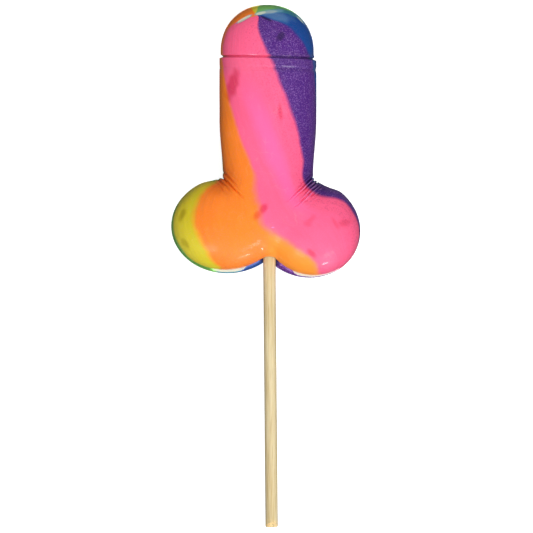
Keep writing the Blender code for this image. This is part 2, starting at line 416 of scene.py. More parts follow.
def front_relief(x, along):
    """How far dents, folds and collar lines sink into the front."""
    depth = 0.0
    for mark in DENTS + PAINTED_HIGHLIGHT_FOLDS + DARK_FOLDS:
        depth = depth + mark.depth * mark_cover(x, along, mark)
    level = level_of(x, along)
    middle = bump(x - COLLAR_LINES_X, COLLAR_LINES_REACH)
    for line, sink, reach in COLLAR_LINES:
        depth = depth + sink * bump(level - line, reach) * middle
    return depth


print(len(COLLAR_LINES), "collar lines")

# %% The whole body
UNEVEN_DEPTH = 0.05 * MM
UNEVEN_RIPPLE = (17.0 * MM, 5)
SKIN_INSET = 0.04 * MM


def body_distance(x, along, height, half):
    """Distance to the whole sweet, below zero inside it."""
    crown = np.clip(height / half.stem_depth, 0.0, 1.0)
    fillet = blend(RIM_FILLET, CROWN_FILLET, crown)
    left, right = (lobe_distance(x, along, height, lobe) for lobe in half.lobes)
    distance = melt(melt(left, right, fillet), stem_distance(x, along, height, half), fillet)
    for corner in CORNERS:
        tuck = corner.tuck * bump(np.hypot(x - corner.tuck_x, along - corner.along), TUCK_REACH)
        distance = distance - corner.height * wrinkle_share(x, along, corner) + tuck
    distance = distance + UNEVEN_DEPTH * (1.0 + ripple(x, along, *UNEVEN_RIPPLE)) + SKIN_INSET
    if half.facing > 0.0:
        distance = melt(distance, lobe_distance(x, along, height, MOUTH), MOUTH_FILLET)
        distance = distance + front_relief(x, along)
    return distance


# %% [markdown]
# ## A fine skin over the body
# The body is known only as a distance, so its skin is found by search. Ribs run from the
# centre line to the rim, fan round a pivot in the head and one between the lobes, and lean
# over in between, so that they run with the wrinkles. Along each rib the height is halved
# in on the surface. This gives even strips of faces, which a remesh would not.

# %% Ribs and the search for the surface
LEAN_START_ALONG = 161.0 * MM
LOBE_PIVOT_ALONG = 119.6 * MM
CORNER_ANGLE = math.radians(46.0)
HEAD_FAN_STEPS = 48
RING_STEPS = 52
STEM_STEPS = 28
LEAN_STEPS = 196
LOBE_FAN_STEPS = 84
LEAN_CROWDING = 1.4
FAN_CROWDING = 1.25
RING_END_ALONG = 180.0 * MM
SEARCH_REACH = 60.0 * MM
SEARCH_STEPS = 150
SEARCH_DEPTH = 20.0 * MM
HALVINGS = 30


def steps_between(start, end, count):
    """Even steps from start to end, without the start itself."""
    return np.linspace(start, end, count + 1)[1:]


def rib_stations(side):
    """Where each rib starts on the centre line and its angle above level, head to foot."""
    slant = -side * math.atan(RING_SLANT)
    head = [(HEAD_PIVOT_ALONG, angle) for angle in np.linspace(0.5 * math.pi, slant, HEAD_FAN_STEPS + 1)]
    ring = [(along, slant) for along in steps_between(HEAD_PIVOT_ALONG, RING_END_ALONG, RING_STEPS)]
    stem = [(along, slant) for along in steps_between(RING_END_ALONG, LEAN_START_ALONG, STEM_STEPS)]
    lean = []
    for share in 1.0 - (1.0 - steps_between(0.0, 1.0, LEAN_STEPS)) ** LEAN_CROWDING:
        along = blend(LEAN_START_ALONG, LOBE_PIVOT_ALONG, share)
        lean.append((along, blend(slant, CORNER_ANGLE, share)))
    fan = steps_between(0.0, 1.0, LOBE_FAN_STEPS) ** FAN_CROWDING
    lobe = [(LOBE_PIVOT_ALONG, blend(CORNER_ANGLE, -0.5 * math.pi, share)) for share in fan]
    return np.array(head + ring + stem + lean + lobe)


def halve(inside, outside, distance_at):
    """Close in on the surface between a point inside and a point outside it."""
    for _ in range(HALVINGS):
        middle = 0.5 * (inside + outside)
        is_outside = distance_at(middle) > 0.0
        outside = np.where(is_outside, middle, outside)
        inside = np.where(is_outside, inside, middle)
    return 0.5 * (inside + outside)


def surface_grid(side, half):
    """x, along and height of one side of one half, as rows of ribs."""
    stations = rib_stations(side)
    start_along = stations[:, 0]
    start_x = centre_x(start_along)
    step_x = side * np.cos(stations[:, 1])
    step_along = np.sin(stations[:, 1])

    def rim_distance(reach):
        return body_distance(start_x + reach * step_x, start_along + reach * step_along, 0.0, half)

    trial = np.linspace(0.0, SEARCH_REACH, SEARCH_STEPS)
    outside = np.array([rim_distance(np.full_like(start_x, reach)) > 0.0 for reach in trial])
    first = outside.argmax(axis=0)
    reach = halve(trial[first - 1], trial[first], rim_distance)
    run = reach[:, None] * np.sin(np.linspace(0.0, 0.5 * math.pi, half.columns + 1))[None, :]
    x = start_x[:, None] + run * step_x[:, None]
    along = start_along[:, None] + run * step_along[:, None]
    top = np.full_like(x, SEARCH_DEPTH)
    height = halve(np.zeros_like(x), top, lambda middle: body_distance(x, along, middle, half))
    height[:, -1] = 0.0
    return x, along, height


print("ribs on each side:", len(rib_stations(1.0)))

# %% [markdown]
# ## Six stripes that twist round the body
# The rope is rolled from six colours side by side, twisted, and laid in the mould. So the
# colour of a point depends on its angle round the rope, plus a twist that grows with the
# distance from the head. The rope's end is folded over at the front of the head, so there
# its axis bends forward, and all six colours meet in one pole on the front. Each corner of
# the mesh keeps the sine and cosine of that angle, because they have no jump at a full turn.

# %% The edges of the sweet, from which the angle is taken
EDGE_START_ALONG = 90.0 * MM
EDGE_ROWS = 480
EDGE_HALF_WIDTH = 40.0 * MM
EDGE_COLUMNS = 801
CALM_HIGH_ALONG = 160.0 * MM
CALM_LOW_ALONG = 120.0 * MM
CALM_FADE = 8.0 * MM
CALM_ROWS = 26


def blur(values, count):
    """A running mean, with the ends held."""
    padded = np.pad(values, count, mode="edge")
    weights = np.hanning(2 * count + 1)
    return np.convolve(padded, weights / weights.sum(), mode="valid")


def find_edges(half):
    """The left and right edge over the length, calmed at the corners so that no stripe kinks."""
    along = np.linspace(EDGE_START_ALONG, OVERALL_LENGTH, EDGE_ROWS)
    x = np.linspace(-EDGE_HALF_WIDTH, EDGE_HALF_WIDTH, EDGE_COLUMNS)
    grid_along, grid_x = np.meshgrid(along, x, indexing="ij")
    inside = body_distance(grid_x, grid_along, 0.0, half) < 0.0
    has_any = inside.any(axis=1)
    left = x[inside.argmax(axis=1)][has_any]
    right = x[len(x) - 1 - inside[:, ::-1].argmax(axis=1)][has_any]
    along = along[has_any]
    calm = below(CALM_HIGH_ALONG, CALM_FADE, along) * smooth_step(CALM_LOW_ALONG, CALM_FADE, along)
    left = blend(left, blur(left, CALM_ROWS), calm)
    right = blend(right, blur(right, CALM_ROWS), calm)
    return along, left, right


# %% [markdown]
# Pressing drags the stripes sideways. Where the sugar was pushed out into a lobe, down at
# the foot and at the folded end, the angle is therefore turned by some more degrees.

# %% How pressing drags the stripes
LEFT_TURN = 4.8
LEFT_TURN_PER_MM = 0.77
LEFT_EXTRA_PER_MM = 1.6
LEFT_LOW_ALONG = 110.0 * MM
LEFT_TOP_RAMP = (140.8 * MM, 3.5 * MM)
LEFT_SIDE_RAMP = (-8.0 * MM, 9.5 * MM)
RIGHT_TURN = -24.0
RIGHT_X = 19.0 * MM
RIGHT_ALONG = 133.5 * MM
RIGHT_REACH = 14.5 * MM
MIDDLE_REACH = 18.0 * MM
MIDDLE_BENDS = ((6.0, 137.0 * MM, 8.0 * MM), (-7.5, 119.0 * MM, 11.0 * MM))
FOOT_RAMP = (113.0 * MM, 10.0 * MM)
FOOT_STEP_TURN = 11.0
FOOT_STEP_RAMP = (1.8 * MM, 2.4 * MM)
FOOT_BENDS = ((9.0, 6.0 * MM, 6.0 * MM), (-24.0, -9.5 * MM, 9.0 * MM))
HEAD_FOLD_RAMP = (186.0 * MM, 13.0 * MM)
HEAD_FOLD_ANGLES = (0.0, 35.0, 52.0, 92.0, 147.0, 196.0, 237.0, 246.0, 290.0, 312.0, 345.0, 360.0)
HEAD_FOLD_TURNS = (-8.0, -14.0, -20.0, 0.0, 16.0, -14.0, -4.0, 10.0, 14.0, 2.0, -6.0, -8.0)
RIM_ANGLES = (233.0, 266.0, 320.0)
RIM_TURNS = (0.0, -16.0, 0.0)
RIM_SIDE_RAMP = (-5.0 * MM, 8.0 * MM)
RIM_TOP_RAMP = (144.0 * MM, 4.0 * MM)
RIM_UPPER_RAMP = (121.0 * MM, 14.0 * MM)
RIM_LOWER_RAMP = (113.0 * MM, 9.0 * MM)
RIM_DRAG = 0.2
RIM_UPPER_DRAG = 0.8
RIM_LOWER_DRAG = 0.35


def bends_at(place, bends):
    """The turn of bends together, each given by its degrees, its middle and its reach."""
    return sum(turn * bump(place - middle, reach) for turn, middle, reach in bends)


def lobe_turn(x, along):
    """Degrees by which pressing the lobes out drags the stripes round."""
    above = (along - LEFT_LOW_ALONG) / MM
    left = LEFT_TURN + LEFT_TURN_PER_MM * above - LEFT_EXTRA_PER_MM * np.maximum(-above, 0.0)
    left = left * below(*LEFT_TOP_RAMP, along) * below(*LEFT_SIDE_RAMP, x)
    right = RIGHT_TURN * bump(np.hypot(x - RIGHT_X, along - RIGHT_ALONG), RIGHT_REACH)
    middle = bump(x, MIDDLE_REACH) * bends_at(along, MIDDLE_BENDS)
    foot = FOOT_STEP_TURN * smooth_step(*FOOT_STEP_RAMP, x) + bends_at(x, FOOT_BENDS)
    return left + right + middle + below(*FOOT_RAMP, along) * foot


def head_turn(angle, along):
    """Degrees by which folding the rope's end over squeezes some stripes and widens others."""
    folded = smooth_step(*HEAD_FOLD_RAMP, along)
    return folded * np.interp(angle % 360.0, HEAD_FOLD_ANGLES, HEAD_FOLD_TURNS)


def rim_turn(angle, x, along):
    """Degrees by which the yellow is dragged out along the left lobe's rim."""
    on_lobe = below(*RIM_SIDE_RAMP, x) * below(*RIM_TOP_RAMP, along)
    upper = smooth_step(*RIM_UPPER_RAMP, along)
    lower = below(*RIM_LOWER_RAMP, along)
    drag = RIM_DRAG + RIM_UPPER_DRAG * upper + RIM_LOWER_DRAG * lower
    return on_lobe * drag * np.interp(angle % 360.0, RIM_ANGLES, RIM_TURNS)


# %% The angle round the rope
TWIST_PER_MM = 1.2
TWIST_START = 188.0 * MM
POLE_X = -3.9 * MM
POLE_ALONG = 204.6 * MM
POLE_PULL = 1.96
POLE_POWER = 1.5
POLE_SHIFT_LENGTH = 2.4 * MM
TIP_SPAN = 6.0 * MM
THINNEST_HALF_SPAN = 0.2 * MM
LOWEST_ROW_ALONG = 104.0 * MM


def rope_angle(x, along, half, edges):
    """Angle round the rope in degrees, at points of one half."""
    row = np.maximum(along, LOWEST_ROW_ALONG)
    left = np.interp(row, edges[0], edges[1])
    right = np.interp(row, edges[0], edges[2])
    half_span = np.maximum(0.5 * (right - left), THINNEST_HALF_SPAN)
    across = np.clip((x - 0.5 * (left + right)) / half_span, -1.0, 1.0)
    side = across * half_span
    rise = half.facing * np.sqrt(1.0 - across**2) * half_span
    below_pole = (POLE_ALONG - along) / MM
    steepened = np.sign(below_pole) * np.abs(below_pole) ** POLE_POWER
    pull = np.tanh(POLE_PULL * steepened / (half_span / MM))
    shift = np.exp(-np.maximum(POLE_ALONG - along, 0.0) / POLE_SHIFT_LENGTH)
    side = side - (POLE_X - HEAD_X) * shift
    rise = rise - np.maximum(half_span, TIP_SPAN) * (1.0 - pull)
    twist = TWIST_PER_MM * (TWIST_START - along) / MM
    angle = np.degrees(np.arctan2(rise, side)) + twist + lobe_turn(x, along)
    angle = angle + rim_turn(angle, x, along)
    return angle + head_turn(angle, along)


print("the rope turns", round(TWIST_PER_MM * (TWIST_START - FOOT_ALONG) / MM), "degrees from head to foot")

# %% [markdown]
# ## What the finish needs at each point
# Beside the rope's angle, each corner of the mesh keeps three marks: how clear the sugar is,
# with painted shade in the groove and the corner hollows; the painted highlights and shade of
# the folds; and the ledge's painted light and shade. Under the lobes the ledge is painted
# light with a painted highlight inside and painted shade outside. It is less so beside the
# stick, where a painted shadow lies in the gap, and painted shade round the sides.

# %% Looks of dents, folds and ledge, with painted light and shade
UP_UNIT = 100.0 * MM
# The groove and the hollows where the stem meets the lobes get painted shade.
GROOVE_PAINTED_SHADE = 0.8
GROOVE_SHADE_REACH = 0.8 * GROOVE_REACH
HOLLOW_PAINTED_SHADE = 0.55
HOLLOW_REACH = 9.0 * MM
CREST_PAINTED_HIGHLIGHT = 0.17
CREST_HIGHLIGHT_RAMP = (0.2, 0.35)
STICK_SHADOW_RAMP = (3.3 * MM, 1.2 * MM)
# Ledge tints from inner to outer edge: above 0 painted light with a painted highlight, below 0 painted
# shade.
LEDGE_BY_STICK = (0.27, -0.25)
LEDGE_UNDER_LOBE = (2.17, -0.45)
LEDGE_AT_SIDE = (-0.3, -0.6)
LOBE_RAMP = (8.8 * MM, 2.5 * MM)
SIDE_UP_RAMP = (102.8 * MM, 0.9 * MM)
SIDE_OUT_RAMP = (13.0 * MM, 6.0 * MM)


def ledge_light_and_shade(x, along):
    """Painted light of the ledge from inner to outer edge: lighter with a painted highlight above 0,
    painted shade below 0.
    """
    outward = np.linspace(0.0, 1.0, x.shape[-1])
    off_stick = np.abs(x - SOCKET_X)
    under_lobe = smooth_step(*LOBE_RAMP, off_stick)
    at_side = smooth_step(*SIDE_UP_RAMP, along) * smooth_step(*SIDE_OUT_RAMP, off_stick)
    tint = blend(blend(*LEDGE_BY_STICK, outward), blend(*LEDGE_UNDER_LOBE, outward), under_lobe)
    return blend(tint, blend(*LEDGE_AT_SIDE, outward), at_side)


def clearness_and_shade_at(x, along, on_front):
    """Where the sugar is clearer and deeper in dents, and where painted shade darkens the groove and the
    corners.
    """
    clearness_and_shade = on_front * cover_of(x, along, DENTS)
    # Painted shade in the groove.
    clearness_and_shade = np.maximum(clearness_and_shade, GROOVE_PAINTED_SHADE * bump(level_of(x, along) - GROOVE_ALONG, GROOVE_SHADE_REACH))
    # Painted shade in the hollows where the stem meets the lobes.
    for corner in CORNERS:
        hollow = bump(np.hypot(x - corner.x, along - corner.along), HOLLOW_REACH)
        clearness_and_shade = np.maximum(clearness_and_shade, HOLLOW_PAINTED_SHADE * hollow)
    return clearness_and_shade


def highlight_and_shade_at(x, along, on_front, ledge):
    """Painted highlights on folds and wrinkle crests above 0; painted shade in the crease, a small dark dot
    and painted shadow beside the stick below 0.
    """
    # Painted highlight on the crests of the wrinkles at the right corner.
    crest_highlight = smooth_step(*CREST_HIGHLIGHT_RAMP, wrinkle_share(x, along, RIGHT_CORNER))
    pale = np.maximum(on_front * cover_of(x, along, PAINTED_HIGHLIGHT_FOLDS), CREST_PAINTED_HIGHLIGHT * crest_highlight)
    # Painted shadow on the ledge in the gap beside the stick.
    stick_shadow = 1.0 - smooth_step(*STICK_SHADOW_RAMP, np.abs(x - SOCKET_X))
    # Painted shade in the crease at the head, and a small dark dot.
    dark = on_front * cover_of(x, along, DARK_FOLDS)
    return pale - dark - ledge * stick_shadow * np.linspace(1.0, 0.0, x.shape[-1])


def looks_rows(x, along, half, edges, ledge):
    """What the finish needs at each point: rope angle, place, dents, folds and ledge."""
    angle = np.radians(rope_angle(x, along, half, edges))
    on_front = float(half.facing > 0.0)
    clearness_and_shade = clearness_and_shade_at(x, along, on_front)
    fold_light_and_shade = highlight_and_shade_at(x, along, on_front, ledge)
    rope = np.stack([np.cos(angle), np.sin(angle), along / UP_UNIT], axis=-1)
    marks = np.stack([clearness_and_shade, fold_light_and_shade, ledge * ledge_light_and_shade(x, along)], axis=-1)
    return rope, marks


# %% [markdown]
# ## Putting the skin together
# The two halves become one closed mesh. A second ring lies a hair inside the ledge, so that
# the ledge can wear the colours of the back half right up to the front half's edge.

# %% Collect the strips
WELD_DISTANCE = 0.0005 * MM


def point_rows(x, along, height, facing):
    """Positions in the model's frame."""
    z = np.maximum(PARTING_HEIGHT + facing * height, 0.0)
    return np.stack([x, along + FOOT_Y, z], axis=-1)


def make_piece(mesh, name):
    """Put a mesh in the scene as a smooth piece."""
    data = bpy.data.meshes.new(name)
    mesh.to_mesh(data)
    mesh.free()
    data.shade_smooth()
    piece = bpy.data.objects.new(name, data)
    bpy.context.scene.collection.objects.link(piece)
    return piece


class SkinBuilder:
    """Collects strips of faces with what their corners need for the finish."""

    def __init__(self):
        self.mesh = bmesh.new()
        self.rope = self.mesh.loops.layers.float_vector.new("rope")
        self.marks = self.mesh.loops.layers.float_vector.new("marks")

    def add_strip(self, points, looks):
        """Add a grid of points and the faces between them."""
        rope, marks = looks
        rows = [[self.mesh.verts.new(point) for point in row] for row in points]
        for row in range(len(rows) - 1):
            for column in range(len(rows[0]) - 1):
                corners = ((row, column), (row + 1, column), (row + 1, column + 1), (row, column + 1))
                face = self.mesh.faces.new([rows[r][c] for r, c in corners])
                for loop, place in zip(face.loops, corners):
                    loop[self.rope] = rope[place]
                    loop[self.marks] = marks[place]

    def finish(self, name):
        """Weld the strips, face them outward and make the piece."""
        bmesh.ops.remove_doubles(self.mesh, verts=self.mesh.verts, dist=WELD_DISTANCE)
        bmesh.ops.recalc_face_normals(self.mesh, faces=self.mesh.faces)
        return make_piece(self.mesh, name)


# %% Build the skin
LEDGE_STEP = 0.06 * MM
INNER_STEP = 0.4 * LEDGE_STEP


def build_skin():
    """The closed skin of the sweet, without its socket."""
    builder = SkinBuilder()
    edges = {half: find_edges(half) for half in (FRONT, BACK)}
    for side in (-1.0, 1.0):
        rims = []
        for half in (FRONT, BACK):
            x, along, height = surface_grid(side, half)
            looks = looks_rows(x, along, half, edges[half], 0.0)
            builder.add_strip(point_rows(x, along, height, half.facing), looks)
            rims.append(np.stack([x[:, -1], along[:, -1]]))
        front_rim, back_rim = rims
        gap = np.maximum(np.hypot(*(back_rim - front_rim)), LEDGE_STEP)
        inner = front_rim + (back_rim - front_rim) * (INNER_STEP / gap)
        for near, far, half, ledge in ((front_rim, inner, FRONT, 0.0), (inner, back_rim, BACK, 1.0)):
            x, along = np.stack([near, far], axis=-1)
            looks = looks_rows(x, along, half, edges[half], ledge)
            builder.add_strip(point_rows(x, along, np.zeros_like(x), 1.0), looks)
    return builder.finish("candy_skin")


candy = build_skin()
print("skin:", len(candy.data.vertices), "points,", len(candy.data.polygons), "faces")

# %% [markdown]
# ## The socket
# The sugar is pressed round the stick, which leaves a snug round hole with a thin dark gap.
# A Boolean cut makes both the hole and the little arch where the front half bridges the
# stick. The rod below serves twice: a little wider as the cutter, and again as the stick.

# %% A rod in the stick's place
STICK_LENGTH = stick_high.y - stick_low.y
STICK_END_X = 2.4 * MM
STICK_LEAN = math.radians(0.5)
SHARP_ANGLE = math.radians(50.0)


def rod(name, radius_at, rings, sides):
    """A closed round rod in the stick's place whose radius follows a rule of place and angle."""
    mesh = bmesh.new()
    turn = np.linspace(0.0, 2.0 * math.pi, sides, endpoint=False)
    rows = []
    for along in rings:
        radius = radius_at(along, turn)
        ring = zip(radius * np.cos(turn), radius * np.sin(turn))
        rows.append([mesh.verts.new((x, along, z)) for x, z in ring])
    for near, far in zip(rows, rows[1:]):
        for step in range(sides):
            after = (step + 1) % sides
            mesh.faces.new((near[step], near[after], far[after], far[step]))
    mesh.faces.new(rows[0])
    mesh.faces.new(rows[-1])
    foot = Matrix.Translation((STICK_END_X, FOOT_Y, PARTING_HEIGHT))
    bmesh.ops.transform(mesh, matrix=foot @ Matrix.Rotation(STICK_LEAN, 4, "Z"), verts=mesh.verts)
    bmesh.ops.recalc_face_normals(mesh, faces=mesh.faces)
    return make_piece(mesh, name)


# %% Cut the socket
SOCKET_GAP = 0.3 * MM
SOCKET_SIDES = 64


def cut_socket(piece):
    """Cut the blind hole for the stick."""
    wide = STICK_RADIUS + SOCKET_GAP
    ends = (0.0, STICK_LENGTH)
    cutter = rod("socket_cutter", lambda along, turn: np.full_like(turn, wide), ends, SOCKET_SIDES)
    cut = piece.modifiers.new("socket", "BOOLEAN")
    cut.operation = "DIFFERENCE"
    cut.solver = "MANIFOLD"
    cut.object = cutter
    graph = bpy.context.evaluated_depsgraph_get()
    data = bpy.data.meshes.new_from_object(piece.evaluated_get(graph))
    piece.modifiers.clear()
    piece.data = data
    bpy.data.objects.remove(cutter)


cut_socket(candy)
candy.data.set_sharp_from_angle(angle=SHARP_ANGLE)
print("after the cut:", len(candy.data.polygons), "faces")

# %% [markdown]
# ## Writing shaders as sums
# A finish is easier to read as arithmetic than as boxes and wires. `Wire` holds one output
# of a node and turns +, - and * into Math nodes. `Finish` holds a material, or the sky, and
# has one method that adds any other node.


# %% Wire and Finish
class Wire:
    """One output of a shader node, on which Python arithmetic adds Math nodes."""

    def __init__(self, finish, socket):
        self.finish = finish
        self.socket = socket

    def _math(self, operation, first, second):
        return self.finish.node("ShaderNodeMath", {"operation": operation}, {0: first, 1: second})

    def __add__(self, other):
        return self._math("ADD", self, other)

    __radd__ = __add__

    def __mul__(self, other):
        return self._math("MULTIPLY", self, other)

    __rmul__ = __mul__

    def __sub__(self, other):
        return self._math("SUBTRACT", self, other)

    def __rsub__(self, other):
        return self._math("SUBTRACT", other, self)


class Finish:
    """A shader that is being mixed, for a material or for the sky."""

    def __init__(self, owner, shader):
        owner.use_nodes = True
        self.owner = owner
        self.tree = owner.node_tree
        self.shader = self.tree.nodes[shader]

    def plug(self, socket, value):
        """Feed a socket with a wire or a plain value."""
        if isinstance(value, Wire):
            self.tree.links.new(value.socket, socket)
        else:
            socket.default_value = value

    def node(self, kind, settings, inputs, output=0):
        """Add one node: its settings first, then its inputs, and return one output."""
        node = self.tree.nodes.new(kind)
        for key, value in settings.items():
            if key == "stops":
                fill_ramp(node.color_ramp, value)
            else:
                setattr(node, key, value)
        for key, value in inputs.items():
            self.plug(node.inputs[key], value)
        return Wire(self, node.outputs[output])

    def split(self, vector):
        """The three numbers in a vector."""
        first = self.node("ShaderNodeSeparateXYZ", {}, {0: vector})
        return [Wire(self, socket) for socket in first.socket.node.outputs]

    def stretch(self, vector, factors):
        """Multiply a vector by a factor for each direction."""
        return self.node("ShaderNodeVectorMath", {"operation": "MULTIPLY"}, {0: vector, 1: factors})

    def mix(self, share, first, second):
        """Blend two colours; a Mix node of colours has its sockets at 0, 6 and 7."""
        return self.node("ShaderNodeMix", {"data_type": "RGBA"}, {0: share, 6: first, 7: second}, 2)

    def tone(self, colour, value, saturation=1.0):
        """Make a colour lighter or darker, and stronger or weaker."""
        inputs = {"Color": colour, "Value": value, "Saturation": saturation}
        return self.node("ShaderNodeHueSaturation", {}, inputs)

    def step(self, value, start, end):
        """Rise softly from 0 to 1 while value goes from start to end."""
        inputs = {"Value": value, "From Min": start, "From Max": end}
        return self.node("ShaderNodeMapRange", {"interpolation_type": "SMOOTHSTEP"}, inputs)

    def band(self, value, rise, fall):
        """1 between a soft rise and a soft fall, each given by where it starts and ends."""
        return self.step(value, *rise) * (1.0 - self.step(value, *fall))

    def noise(self, place, scale, detail=2.0, roughness=0.5, distortion=0.0):
        """Noise between 0 and 1."""
        inputs = {"Vector": place, "Scale": scale, "Detail": detail, "Roughness": roughness}
        return self.node("ShaderNodeTexNoise", {}, inputs | {"Distortion": distortion})

    def set(self, **values):
        """Set sockets of the main shader by name, with underscores for spaces."""
        for key, value in values.items():
            self.plug(self.shader.inputs[key.replace("_", " ")], value)


def new_material(name):
    """A finish for a new material."""
    return Finish(bpy.data.materials.new(name), "Principled BSDF")


def fill_ramp(ramp, stops):
    """Give a colour ramp its stops."""
    while len(ramp.elements) > 1:
        ramp.elements.remove(ramp.elements[-1])
    ramp.elements[0].position = stops[0][0]
    ramp.elements[0].color = stops[0][1]
    for position, colour in stops[1:]:
        ramp.elements.new(position).color = colour


def dye(red, green, blue):
    """A colour given as a painter sees it on screen, 0 to 255, in the shader's light units."""
    def to_light(value):
        share = value / 255.0
        return share / 12.92 if share <= 0.04045 else ((share + 0.055) / 1.055) ** 2.4

    return (to_light(red), to_light(green), to_light(blue), 1.0)


print("middle grey in light units:", round(dye(128, 128, 128)[0], 3))

# %% [markdown]
# ## Pulled sugar
# Pulled sugar is full of fine air streaks, so it is cloudy, bright and only a little
# see-through. Its skin is glossy where the mould was smooth. Each stripe is one dye that
# bleeds a little into the next, and between green and blue the two dyes make a teal. A row
# holds where a stripe starts, in degrees, and its dye there and at its end: only the yellow
# changes, and grows paler.

# %% The dyes and where they meet
PINK = dye(252, 106, 144)
ROSE = dye(250, 104, 178)
ORANGE = dye(250, 136, 56)
YELLOW = dye(216, 198, 48)
LEMON = dye(222, 208, 70)
# A riper, lighter orange, which also stands in for the soft highlight low on the right.
AMBER_AND_HIGHLIGHT = dye(253, 154, 44)
GREEN = dye(118, 186, 92)
TEAL = dye(50, 122, 138)
BLUE = dye(22, 74, 144)
PURPLE = dye(74, 32, 120)
FULL_TURN = 360.0
BLEED = 3.0
STRIPES = (
    (23.0, PURPLE, PURPLE),
    (88.0, PINK, PINK),
    (165.0, ORANGE, ORANGE),
    (233.0, YELLOW, LEMON),
    (262.0, GREEN, GREEN),
    (308.0, TEAL, TEAL),
    (322.0, BLUE, BLUE),
)


def stripe_stops(stripes):
    """Ramp stops for stripes that each start at an angle, with soft borders."""
    before = stripes[-1][2]
    stops = [(0.0, before)]
    for start, first, last in stripes:
        stops.append(((start - BLEED) / FULL_TURN, before))
        stops.append(((start + BLEED) / FULL_TURN, first))
        before = last
    stops.append((1.0, before))
    return stops


print(len(stripe_stops(STRIPES)), "stops round the rope")

# %% [markdown]
# Every rule of the finish asks the same few things of a spot: where it is, where round the
# rope and how far up the sweet, how streaky and cloudy the sugar is, and its three marks.

# %% What is known of a spot
WOBBLE_TURN = 0.016
STREAK_STRETCH = (1.0, 1.0, 0.35)


@dataclass(frozen=True)
class Spot:
    """Wires that tell about one spot of the surface."""

    place: Wire
    around: Wire
    up: Wire
    streak: Wire
    cloud: Wire
    clearness_and_shade: Wire
    fold_light_and_shade: Wire
    ledge: Wire


def read_spot(sugar):
    """Read what the mesh keeps and add the wobble of the rope, its streaks and its clouds."""
    place = sugar.node("ShaderNodeTexCoord", {}, {}, "Object")
    rope = sugar.node("ShaderNodeAttribute", {"attribute_name": "rope"}, {}, "Vector")
    marks = sugar.node("ShaderNodeAttribute", {"attribute_name": "marks"}, {}, "Vector")
    cosine, sine, up = sugar.split(rope)
    wobble = (sugar.noise(place, 130.0, 3.0) - 0.5) * WOBBLE_TURN
    turn = sugar.node("ShaderNodeMath", {"operation": "ARCTAN2"}, {0: sine, 1: cosine})
    angle = turn * (0.5 / math.pi) + wobble
    around = sugar.node("ShaderNodeMath", {"operation": "WRAP"}, {0: angle, 1: 1.0, 2: 0.0})
    streak = sugar.noise(sugar.stretch(rope, STREAK_STRETCH), 16.0, 4.0, 0.6)
    return Spot(place, around, up, streak, sugar.noise(place, 70.0, 3.0), *sugar.split(marks))


# %% [markdown]
# Along the rope run faint lighter and darker streaks. The dark purple shows a pale grain, the
# pink beside it has dark specks, and low down the middle of the pink is rosier and the orange
# right of the stick riper and lighter, which also stands in for the soft highlight low there.


# %% Stripes, streaks, grain, ripeness and a painted highlight
def stripe_colour(sugar, spot):
    """The stripe's dye with its light and dark streaks."""
    stripes = {"stops": stripe_stops(STRIPES)}
    colour = sugar.node("ShaderNodeValToRGB", stripes, {"Fac": spot.around}, "Color")
    mottle = spot.streak * 0.6 + spot.cloud * 0.4
    shade = sugar.step(mottle, 0.3, 0.7)
    return sugar.tone(colour, 0.93 + shade * 0.12, 1.03)


def add_grain(sugar, spot, colour):
    """Pale grain, strongest in the purple, and dark specks, strongest in the pink beside it."""
    grain = sugar.step(sugar.noise(spot.place, 2300.0, 2.0, 0.7), 0.48, 0.72)
    in_purple = sugar.band(spot.around, (0.06, 0.07), (0.235, 0.25))
    colour = sugar.mix(grain * (0.06 + in_purple * 0.32), colour, dye(206, 160, 236))
    speck = sugar.step(sugar.noise(spot.place, 1500.0, 2.0, 0.6), 0.5, 0.66)
    by_purple = sugar.band(spot.around, (0.225, 0.25), (0.27, 0.36))
    return sugar.mix(speck * (0.03 + by_purple * 0.34), colour, dye(196, 44, 104))


def ripen_and_highlight(sugar, spot, colour):
    """A rosier middle of the pink, and a riper orange low on the right that also stands in for the soft
    highlight there.
    """
    midway = sugar.band(spot.up, (1.2, 1.35), (1.6, 1.85))
    rosy = sugar.band(spot.around, (0.3, 0.35), (0.365, 0.415)) * midway
    colour = sugar.mix(rosy * 0.5, colour, ROSE)
    # Low on the right the orange turns riper, a tint that also stands in for the soft highlight there.
    low = 1.0 - sugar.step(spot.up, 1.14, 1.24)
    on_right = sugar.step(sugar.split(spot.place)[0], -0.002, 0.004)
    ripe_and_highlight = sugar.band(spot.around, (0.44, 0.46), (0.55, 0.62)) * low * on_right
    return sugar.mix(ripe_and_highlight * 0.75, colour, AMBER_AND_HIGHLIGHT)


# %% [markdown]
# In a dent the sugar is clearer, so its colour is deeper; in the groove and the corner
# hollows the same deeper colour is painted shade. The pale marks are painted highlights: a
# weak one is lilac on the wrinkles and blue on the head, and a strong one nearly white, and
# the dark crease is painted shade. The ledge is painted much lighter for the light on it,
# where the sugar is also thin, with a painted highlight in pale patches, and painted shade
# along its outer edge and in the gap beside the stick.

# %% Dents, folds and ledge, with painted light and shade
STRONG_SHARE = 0.85


